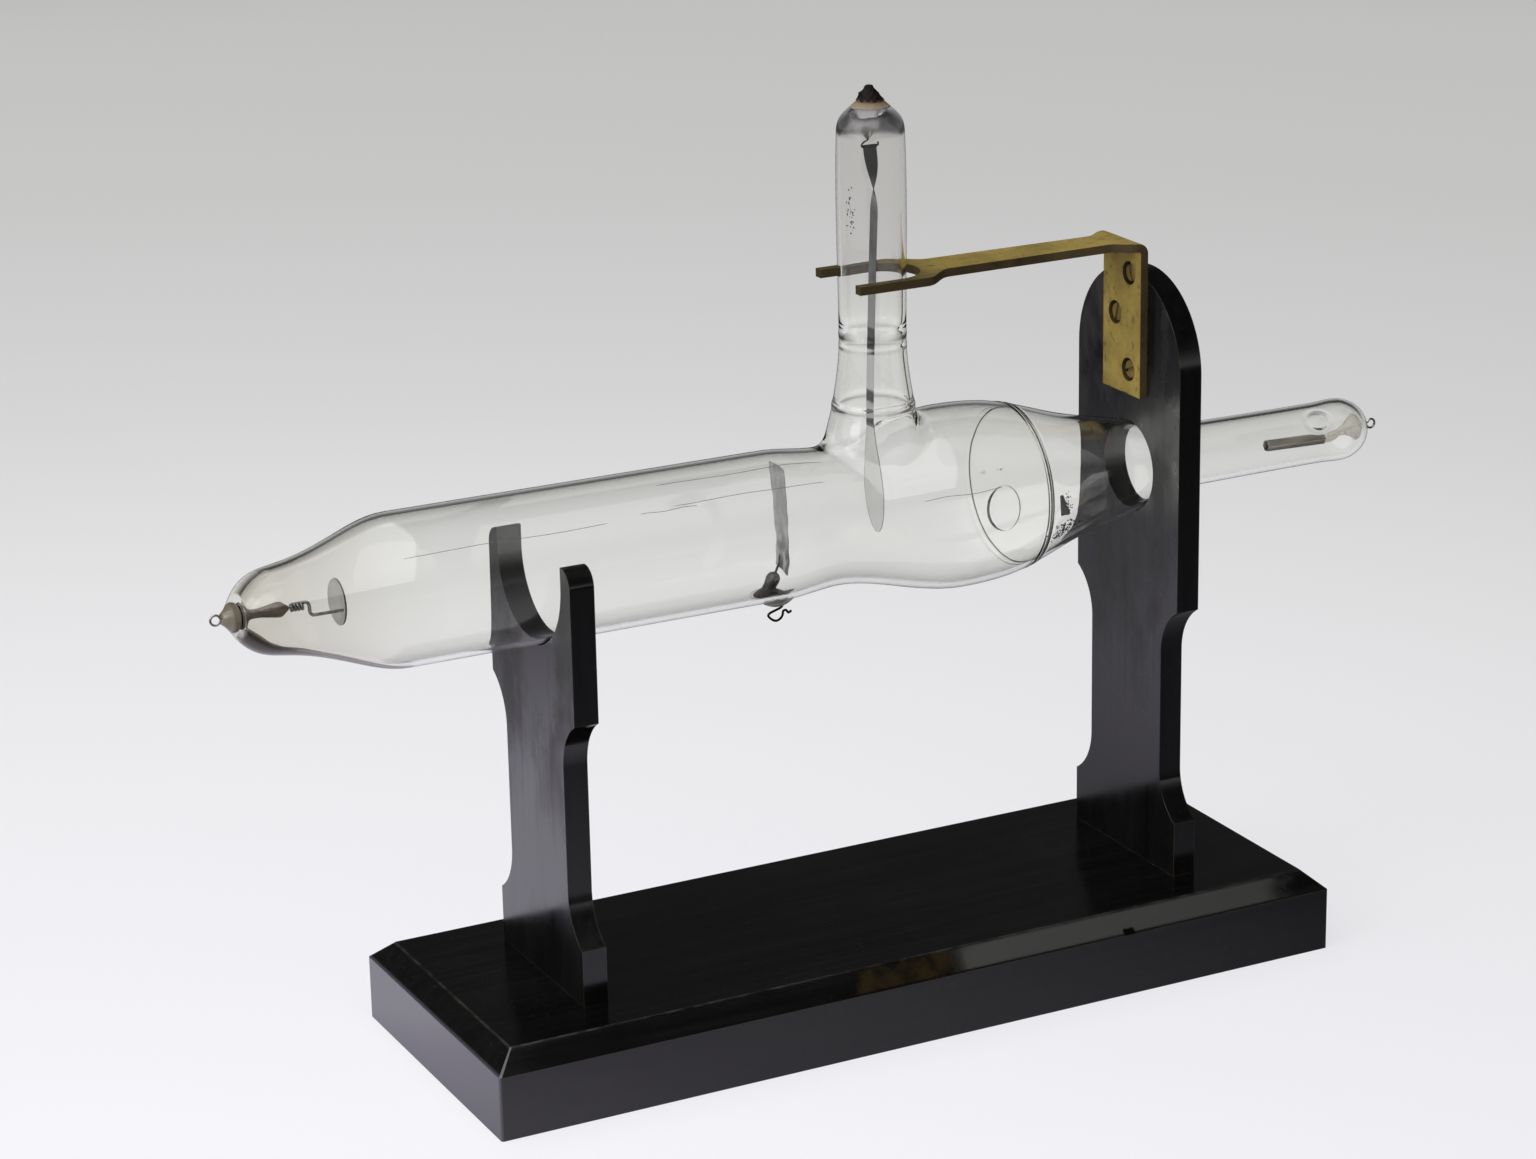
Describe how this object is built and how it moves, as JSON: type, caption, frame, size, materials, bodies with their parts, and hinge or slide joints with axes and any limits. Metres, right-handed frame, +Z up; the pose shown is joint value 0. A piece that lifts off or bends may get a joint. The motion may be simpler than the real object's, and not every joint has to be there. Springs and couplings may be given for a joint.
{
  "type": "crookes tube on a wooden stand",
  "caption": "Sealed glass discharge tube with a hanging leaf in its side tube, wire electrodes and terminal loops, resting in black wooden uprights on a bevelled base with a brass fork.",
  "frame": {"origin": "middle of the base board's underside", "axes": "+X along the tube towards its narrow end, +Y across the base away from the viewer, +Z up"},
  "size_m": [0.3518, 0.09, 0.2523],
  "materials": {
    "black_wood": "ebonised and polished",
    "sheet_brass": "lacquered satin, aged",
    "screw_brass": "worn satin",
    "clear_glass": "clear, blown",
    "dark_glass": "darkened, melted",
    "black_wax": "dripped",
    "lead_wire": "drawn wire",
    "aluminium": "matt sheet",
    "dark_foil": "dull foil",
    "pale_leaf": "thin and pale"
  },
  "bodies": {
    "stand": {"base_board": "black_wood", "front_upright": "black_wood", "rear_upright": "black_wood", "fork_bracket": "sheet_brass", "bracket_screws": "screw_brass"},
    "tube": {"main_tube": "clear_glass", "diaphragm": "clear_glass", "tail_tube": "clear_glass", "side_tube": "clear_glass", "tip_wax": "black_wax", "nose_stem": "dark_glass", "nose_lead": "lead_wire", "disc_wire": "aluminium", "disc_electrode": "aluminium", "strip_stem": "dark_glass", "strip_lead": "lead_wire", "strip_electrode": "aluminium", "tail_stem": "dark_glass", "tail_lead": "lead_wire", "rod_electrode": "aluminium", "hook_stem": "clear_glass", "hook_wire": "lead_wire"},
    "vane": {"ribbon": "dark_foil", "leaf": "pale_leaf"}
  },
  "joints": [
    {"name": "tube_slide", "type": "slide", "parent": "stand", "child": "tube", "axis": [-1, 0, 0], "range_m": [0, 0.055]},
    {"name": "leaf_swing", "type": "hinge", "parent": "tube", "child": "vane", "pos_m": [0.0074, 0, 0.2361], "axis": [1, 0, 0], "range_deg": [-5, 5]}
  ]
}
